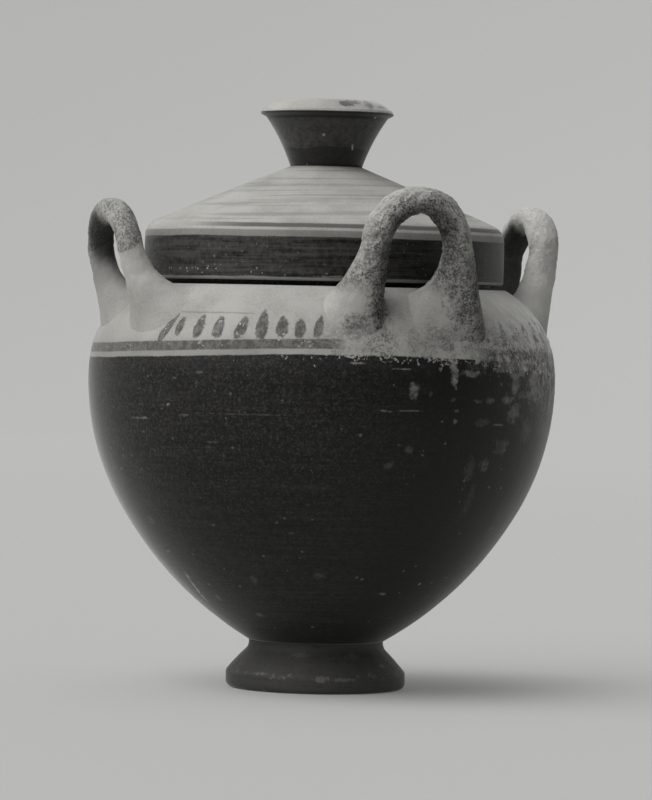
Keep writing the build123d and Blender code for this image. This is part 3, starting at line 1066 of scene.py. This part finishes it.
def foot_finish():
    """The foot: dull dark glaze, rubbed along the rim, with painted shade on its left and painted light on
    its right.
    """
    f = Finish("rubbed foot glaze")
    edges = f.height.between(4.5, 6.5, 7.2, 9.0) | f.height.fade(1.6, 0.3)
    bare = f.flaked(edges.scaled(0.14, 0.27)) * 0.5 | f.broken(f.spots(FOOT_MARKS), 0.7)
    dull = f.mottle.scaled(0.6, f.streak * 0.4).fade(0.22, 0.52).tint(GLAZE_THIN, GLAZE_DULL)
    # Painted shade darkens the foot on its left, and painted light greys it on its right
    dull = (f.bearing.fade(-30.0, -75.0) * 0.4).tint(dull, GLAZE_THIN)
    dull = (f.bearing.fade(0.0, 45.0) * 0.4).tint(dull, GREY_WASH)
    under = f.radius.fade(27.2, 26.2).without(f.height.fade(FOOT_TOP - 0.3, FOOT_TOP - 0.1))
    colour = under.tint(bare.tint(dull, CLAY_STAIN), f.clay)
    relief = f.grain.scaled(0.1, bare * -0.06)
    return f.close(colour, f.grain.scaled(0.2, 0.5), relief, 0.25, (0.3, 0.3))


def inside_finish():
    """Bare clay inside, with the wheel's turning marks."""
    f = Finish("bare inside clay")
    colour = f.streak.fade(0.45, 0.7).tint(f.clay, CLAY_STAIN)
    return f.close(colour, f.grain.scaled(0.15, 0.75), f.streak.scaled(0.25, f.grain * 0.1))


# Crust low on the outer side of the right handle's near leg
NEAR_LEG_CRUST = [(80.0, 156.0, 5.0, 14.0, 0.0, 0.7), (79.0, 180.0, 2.5, 12.0, 0.0, 0.4)]

# How each handle looks, and a height over all of them, where glaze never starts
OVER_ALL = 400.0
# In these looks, pale paints light on a handle's clay, the far-side stain and the shade of the front loop
# are painted shade, and the glaze inside a far leg is partly painted shade
LOOP_LOOKS = {
    "loop_front": {
        "name": "front loop crust",
        "crusting": 0.95,
        "leg_crust": LEG_CRUST,
        "painted_shade_strength": 0.95,
    },
    "loop_right": {
        "name": "right loop clay",
        "crusting": 0.3,
        "glaze_and_shade_inside": 0.95,
        "inner_from": 156.0,
        "pale": 1.0,
        "leg_crust": NEAR_LEG_CRUST,
    },
    "loop_back": {"name": "back loop clay", "crusting": 0.25},
    "loop_left": {
        "name": "left loop clay",
        "crusting": 0.06,
        "glaze_from": 181.0,
        "glaze_and_shade_inside": 0.85,
        "inner_from": 170.0,
        "pale": 0.35,
        "stain_as_painted_shade": 0.7,
    },
}

# Heights at which the arch of the front loop and of the side loops springs
FRONT_SPRING = 182.0
SIDE_SPRING = 179.0


def front_painted_shade_and_wash(f):
    """Painted shade on the front loop, under its arch and right of its legs, and where rain thinned its
    crust.
    """
    sideways = f.place.axis("X")
    above_spring = f.height - FRONT_SPRING
    from_middle = distance(sideways, above_spring | 0.0)
    under = from_middle.fade(17.8, 13.0) * f.height.fade(174.0, 186.0)
    low_left = sideways.between(-20.5, -14.5, -4.0, 2.0) * f.height.between(146.0, 158.0, 180.0, 190.0)
    low_right = above_spring.scaled(0.31, sideways).fade(16.0, 20.5) * f.height.fade(180.0, 168.0) * 0.65
    rained_on = from_middle.fade(17.5, 21.5) * f.height.fade(172.0, 188.0)
    return under | low_left | low_right, rained_on


def loop_finish(
    name,
    crusting,
    glaze_from=OVER_ALL,
    glaze_and_shade_inside=0.0,
    inner_from=OVER_ALL,
    pale=0.0,
    stain_as_painted_shade=0.0,
    leg_crust=(),
    painted_shade_strength=0.0,
):
    """A handle: pale clay with gritty crust, worn glaze on its crown, glaze that is partly painted shade
    inside its far leg, and painted light and painted shade on its clay.
    """
    f = Finish(name)
    crust, thick, grit = f.crust()
    higher = f.height.fade(158.0, 172.0)
    crusted = f.shoulder_crust(*f.shoulder_cover(), thick).without(higher)
    crusted = crusted + thick.scaled(0.5, 0.5) * crusting * higher
    if leg_crust:
        crusted = crusted | f.spots(leg_crust) * 0.95
    if painted_shade_strength:
        painted_shade_mask, rained_on = front_painted_shade_and_wash(f)
        crusted = crusted.without(rained_on * 0.65)
    # Painted light: the grit turns brighter towards the tops of the crowns
    crust = (grit.fade(0.0, 0.7) * f.height.fade(182.0, 196.0)).tint(crust, CLAY_PAINTED_LIGHT)
    tilted = f.radius.scaled(0.66, f.height)
    glazed = tilted.fade(glaze_from + 58.8, glaze_from + 60.2) * grit.scaled(-0.6, 0.8)
    far_side = f.place.axis("Y")
    from_gap = distance(far_side, f.height - SIDE_SPRING | 0.0)
    # The glaze inside the far leg is partly real glaze and partly painted shade, where the leg faces the
    # opening
    inner = far_side.fade(1.0, 6.0) * from_gap.fade(17.5, 12.5) * glaze_and_shade_inside
    inner = inner * f.height.fade(inner_from, inner_from + 6.0)
    off_shoulder = f.height.fade(157.0, 167.0)
    # Painted light: a handle's clay off the shoulder made brighter
    colour = (off_shoulder * pale).tint(f.clay, CLAY_PAINTED_LIGHT)
    # Painted shade on the far side of the handle, in the stain colour
    colour = (far_side.fade(2.0, 14.0) * off_shoulder * stain_as_painted_shade).tint(colour, CLAY_STAIN)
    colour = crusted.tint(colour, crust)
    # Painted shade under the front loop's arch and right of its legs, in the dark crust colour
    if painted_shade_strength:
        colour = (painted_shade_mask * grit.scaled(-0.3, 1.0) * painted_shade_strength).tint(colour, CRUST_DARK)
    colour = inner.tint(glazed.tint(colour, GLAZE_DULL), f.glaze)
    relief = (crusted * grit).scaled(0.5, f.grain * 0.12)
    return f.close(colour, f.grain.scaled(0.1, 0.78), relief)


def dress(piece, *materials):
    """Gives a piece its materials, one for each slot."""
    piece.data.materials.clear()
    for material in materials:
        piece.data.materials.append(material)


def bare_inside(piece, is_inside):
    """Gives the faces inside a hollow piece its second material."""
    for face in piece.data.polygons:
        face.material_index = 1 if is_inside(face.center / MM) else 0


# Lines inside the collar and inside the lid's roof: a radius, and a height at the neck with its fall
MID_COLLAR_RADIUS = 65.9
ROOF_LINE_HEIGHT = 211.0
ROOF_LINE_FALL = 0.42


def inside_body(point):
    """The bowl's inside, its mouth and its underside within the foot."""
    if point.z > LEDGE_HEIGHT - SKIN_EDGE:
        return math.hypot(point.x, point.y) < MID_COLLAR_RADIUS
    return not on_wall_skin(point) or point.z < FOOT_TOP + SKIN_EDGE


def inside_lid(point):
    """The lid's bore, its seat and the underside of its cone."""
    reach = math.hypot(point.x, point.y)
    roof_line = ROOF_LINE_HEIGHT - (reach - NECK_RADIUS) * ROOF_LINE_FALL
    return reach < BORE_RADIUS + SKIN_EDGE and point.z < roof_line


INSIDE_CLAY = inside_finish()
dress(foot, foot_finish())
dress(body, body_finish(), INSIDE_CLAY)
bare_inside(body, inside_body)
dress(lid, lid_finish(), INSIDE_CLAY)
bare_inside(lid, inside_lid)
dress(knob, knob_finish())
for loop_name, looks in LOOP_LOOKS.items():
    dress(loops[loop_name], loop_finish(**looks))

# Camera, at the photograph's angle
VIEW_TURN = math.radians(-23.0)
VIEW_DISTANCE = 1.845
EYE_HEIGHT = 0.155
AIM_HEIGHT = 0.118
AIM_RIGHT = 0.002
VIEW_ROLL = math.radians(1.24)
LENS_LENGTH = 202.5
SENSOR_WIDTH = 36.0
FARTHEST_SEEN = 30.0
towards_eye = Vector((math.sin(VIEW_TURN), -math.cos(VIEW_TURN), 0.0))
eye_right = Vector((math.cos(VIEW_TURN), math.sin(VIEW_TURN), 0.0))
camera_data = bpy.data.cameras.new("studio camera")
camera_data.lens = LENS_LENGTH
camera_data.sensor_width = SENSOR_WIDTH
camera_data.clip_end = FARTHEST_SEEN
camera = bpy.data.objects.new("studio camera", camera_data)
bpy.context.scene.collection.objects.link(camera)
camera.location = towards_eye * VIEW_DISTANCE + Vector((0.0, 0.0, EYE_HEIGHT))
aim = eye_right * AIM_RIGHT + Vector((0.0, 0.0, AIM_HEIGHT))
camera.rotation_mode = "QUATERNION"
straight_look = (aim - camera.location).to_track_quat("-Z", "Y")
camera.rotation_quaternion = straight_look @ Quaternion((0.0, 0.0, 1.0), VIEW_ROLL)
bpy.context.scene.camera = camera

# Stage: a round pale sweep that the pot stands in the middle of
SWEEP_START = (0.0, -0.05)
SWEEP_RUNS = [
    ((3600.0, -0.05), 0.0, 400.0),
    ((4400.0, 800.0), 230.0, 60.0),
    ((4400.0, 2200.0), 0.0, 400.0),
]
sweep = throw("studio_sweep", section_points(SWEEP_START, SWEEP_RUNS), turns=96)
bpy.ops.object.mode_set(mode="EDIT")
bpy.ops.mesh.select_all(action="SELECT")
bpy.ops.mesh.flip_normals()
bpy.ops.object.mode_set(mode="OBJECT")

# Colours and glow of the paper: away from the pot, close round it and on the dim side
PAPER_AWAY = (0.18, 0.18, 0.177, 1.0)
PAPER_CLOSE = (0.42, 0.42, 0.412, 1.0)
PAPER_DIM = (0.12, 0.12, 0.118, 1.0)
GLOW_NEARER = (0.31, 0.31, 0.304, 1.0)
GLOW_FARTHER = (0.33, 0.33, 0.324, 1.0)
GLOW_CLOSE = (0.1, 0.1, 0.098, 1.0)
GLOW_DIM = (0.02, 0.02, 0.02, 1.0)


def paper_finish():
    """Pale paper that glows of itself as painted light, less close round the pot and behind the camera."""
    material = bpy.data.materials.new("studio paper")
    material.use_nodes = True
    tree = material.node_tree
    place = coordinates(tree, "Object")
    away = Value(place.vector_calc("LENGTH")["Value"])
    dim_side = tuple(towards_eye + eye_right * 0.8)
    dim = Value(place.vector_calc("DOT_PRODUCT", dim_side)["Value"]).fade(0.8, 3.2)
    close_by = away.fade(0.16, 0.05)
    paper = dim.tint(close_by.tint(PAPER_AWAY, PAPER_CLOSE), PAPER_DIM)
    # Painted light: the glow of the paper
    glow = away.fade(1.0, 4.2).tint(GLOW_NEARER, GLOW_FARTHER)
    glow = dim.tint(close_by.tint(glow, GLOW_CLOSE), GLOW_DIM)
    inputs = tree.nodes["Principled BSDF"].inputs
    tree.links.new(paper.socket, inputs["Base Color"])
    tree.links.new(glow.socket, inputs["Emission Color"])
    inputs["Emission Strength"].default_value = 1.0
    inputs["Roughness"].default_value = 0.9
    inputs["Specular IOR Level"].default_value = 0.1
    return material


dress(sweep, paper_finish())

# Light: a broad soft sky light from the upper left, in a room that is brighter on that side
UP = Vector((0.0, 0.0, 1.0))
SKY_WAY = UP * 0.76 - eye_right * 0.7 + towards_eye * 0.42
SKY_SPREAD = 65.0
SKY_STRENGTH = 2.75
ROOM_BRIGHT_SIDE = (UP * 0.6 - eye_right * 0.65 - towards_eye * 0.45).normalized()
ROOM_DIM = (0.08, 0.08, 0.08, 1.0)
ROOM_BRIGHT = (1.0, 1.0, 1.0, 1.0)
ROOM_STRENGTH = 0.65


def sky_light():
    """A wide, even light that comes from one way."""
    lamp_data = bpy.data.lights.new("sky light", "SUN")
    lamp_data.angle = math.radians(SKY_SPREAD)
    lamp_data.energy = SKY_STRENGTH
    lamp = bpy.data.objects.new("sky light", lamp_data)
    bpy.context.scene.collection.objects.link(lamp)
    lamp.location = SKY_WAY
    lamp.rotation_mode = "QUATERNION"
    lamp.rotation_quaternion = (-SKY_WAY).to_track_quat("-Z", "Y")


def soft_room():
    """Even light all round, stronger from above, from the left and from behind."""
    world = bpy.data.worlds.new("soft room")
    world.use_nodes = True
    tree = world.node_tree
    way = coordinates(tree, "Generated")
    lit = Value(way.vector_calc("DOT_PRODUCT", tuple(ROOM_BRIGHT_SIDE))["Value"])
    inputs = tree.nodes["Background"].inputs
    tree.links.new(lit.fade(-0.4, 0.95).tint(ROOM_DIM, ROOM_BRIGHT).socket, inputs["Color"])
    inputs["Strength"].default_value = ROOM_STRENGTH
    return world


sky_light()
bpy.context.scene.world = soft_room()
bpy.context.scene.view_settings.view_transform = "Standard"
